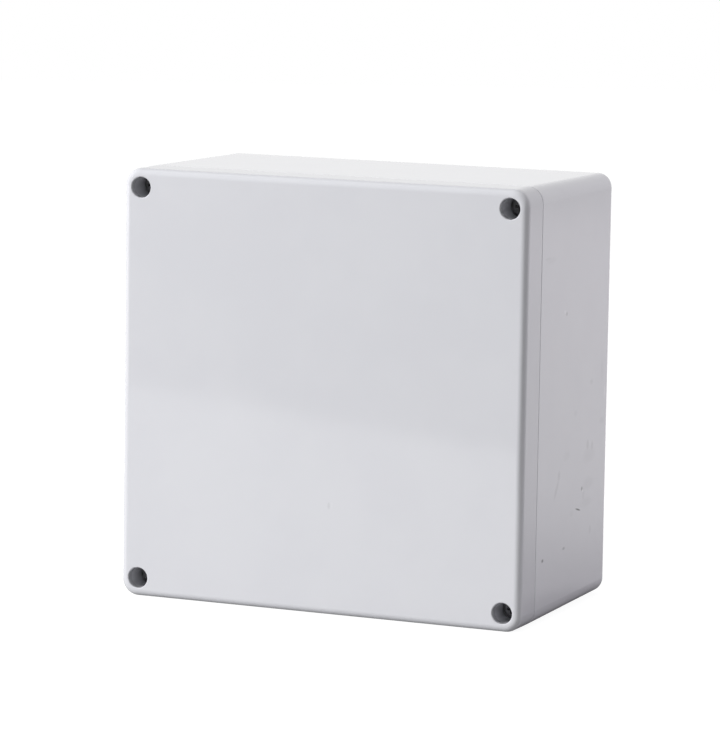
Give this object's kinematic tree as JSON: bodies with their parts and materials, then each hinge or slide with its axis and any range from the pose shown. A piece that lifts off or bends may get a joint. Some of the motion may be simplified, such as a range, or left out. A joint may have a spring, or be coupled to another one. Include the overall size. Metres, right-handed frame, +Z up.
{
  "type": "electrical enclosure",
  "caption": "Square light-grey plastic wall enclosure with a lift-off sealed lid on captive corner screws and an inner mounting plate.",
  "frame": {"origin": "middle of the lower side, as the box stands with its lid upright", "axes": "+Z up, +Y towards the back that goes on the wall, the lid looks towards -Y"},
  "size_m": [0.16, 0.09, 0.16],
  "materials": {
    "housing": "moulded, glossy light grey",
    "seal": "soft matt foam",
    "screw_steel": "dark, blackened",
    "ring_nylon": "natural nylon",
    "insert_brass": "turned brass",
    "plate_steel": "galvanised sheet",
    "plated_steel": "zinc plated"
  },
  "bodies": {
    "base": {"base": "housing", "lid_screw_inserts": "insert_brass", "plate_screw_inserts": "insert_brass", "mounting_plate": "plate_steel", "plate_washers": "plated_steel", "plate_screws": "plated_steel", "earth_bolt": "plated_steel", "earth_nuts": "plated_steel", "earth_washers": "plated_steel", "earth_lock_washer": "plated_steel"},
    "lid": {"lid": "housing", "gasket": "seal"},
    "screw_ring_upper_left": {"screw_ring_upper_left": "ring_nylon"},
    "lid_screw_upper_left": {"lid_screw_upper_left": "screw_steel"},
    "screw_ring_upper_right": {"screw_ring_upper_right": "ring_nylon"},
    "lid_screw_upper_right": {"lid_screw_upper_right": "screw_steel"},
    "screw_ring_lower_left": {"screw_ring_lower_left": "ring_nylon"},
    "lid_screw_lower_left": {"lid_screw_lower_left": "screw_steel"},
    "screw_ring_lower_right": {"screw_ring_lower_right": "ring_nylon"},
    "lid_screw_lower_right": {"lid_screw_lower_right": "screw_steel"}
  },
  "joints": [
    {"name": "lid_lift", "type": "slide", "parent": "base", "child": "lid", "axis": [0, -1, 0], "range_m": [0, 0.1]},
    {"name": "screw_rise_upper_left", "type": "slide", "parent": "lid", "child": "screw_ring_upper_left", "axis": [0, -1, 0], "range_m": [0, 0.00805]},
    {"name": "screw_turn_upper_left", "type": "hinge", "parent": "screw_ring_upper_left", "child": "lid_screw_upper_left", "pos_m": [-0.073, -0.035, 0.153], "axis": [0, -1, 0], "range_deg": [0, 4141]},
    {"name": "screw_rise_upper_right", "type": "slide", "parent": "lid", "child": "screw_ring_upper_right", "axis": [0, -1, 0], "range_m": [0, 0.00805]},
    {"name": "screw_turn_upper_right", "type": "hinge", "parent": "screw_ring_upper_right", "child": "lid_screw_upper_right", "pos_m": [0.073, -0.035, 0.153], "axis": [0, -1, 0], "range_deg": [0, 4141]},
    {"name": "screw_rise_lower_left", "type": "slide", "parent": "lid", "child": "screw_ring_lower_left", "axis": [0, -1, 0], "range_m": [0, 0.00805]},
    {"name": "screw_turn_lower_left", "type": "hinge", "parent": "screw_ring_lower_left", "child": "lid_screw_lower_left", "pos_m": [-0.073, -0.035, 0.007], "axis": [0, -1, 0], "range_deg": [0, 4141]},
    {"name": "screw_rise_lower_right", "type": "slide", "parent": "lid", "child": "screw_ring_lower_right", "axis": [0, -1, 0], "range_m": [0, 0.00805]},
    {"name": "screw_turn_lower_right", "type": "hinge", "parent": "screw_ring_lower_right", "child": "lid_screw_lower_right", "pos_m": [0.073, -0.035, 0.007], "axis": [0, -1, 0], "range_deg": [0, 4141]}
  ],
  "couplings": [
    {"joint": "screw_turn_upper_left", "follows": "screw_rise_upper_left", "rad_per_m": 8976},
    {"joint": "screw_turn_upper_right", "follows": "screw_rise_upper_right", "rad_per_m": 8976},
    {"joint": "screw_turn_lower_left", "follows": "screw_rise_lower_left", "rad_per_m": 8976},
    {"joint": "screw_turn_lower_right", "follows": "screw_rise_lower_right", "rad_per_m": 8976}
  ]
}
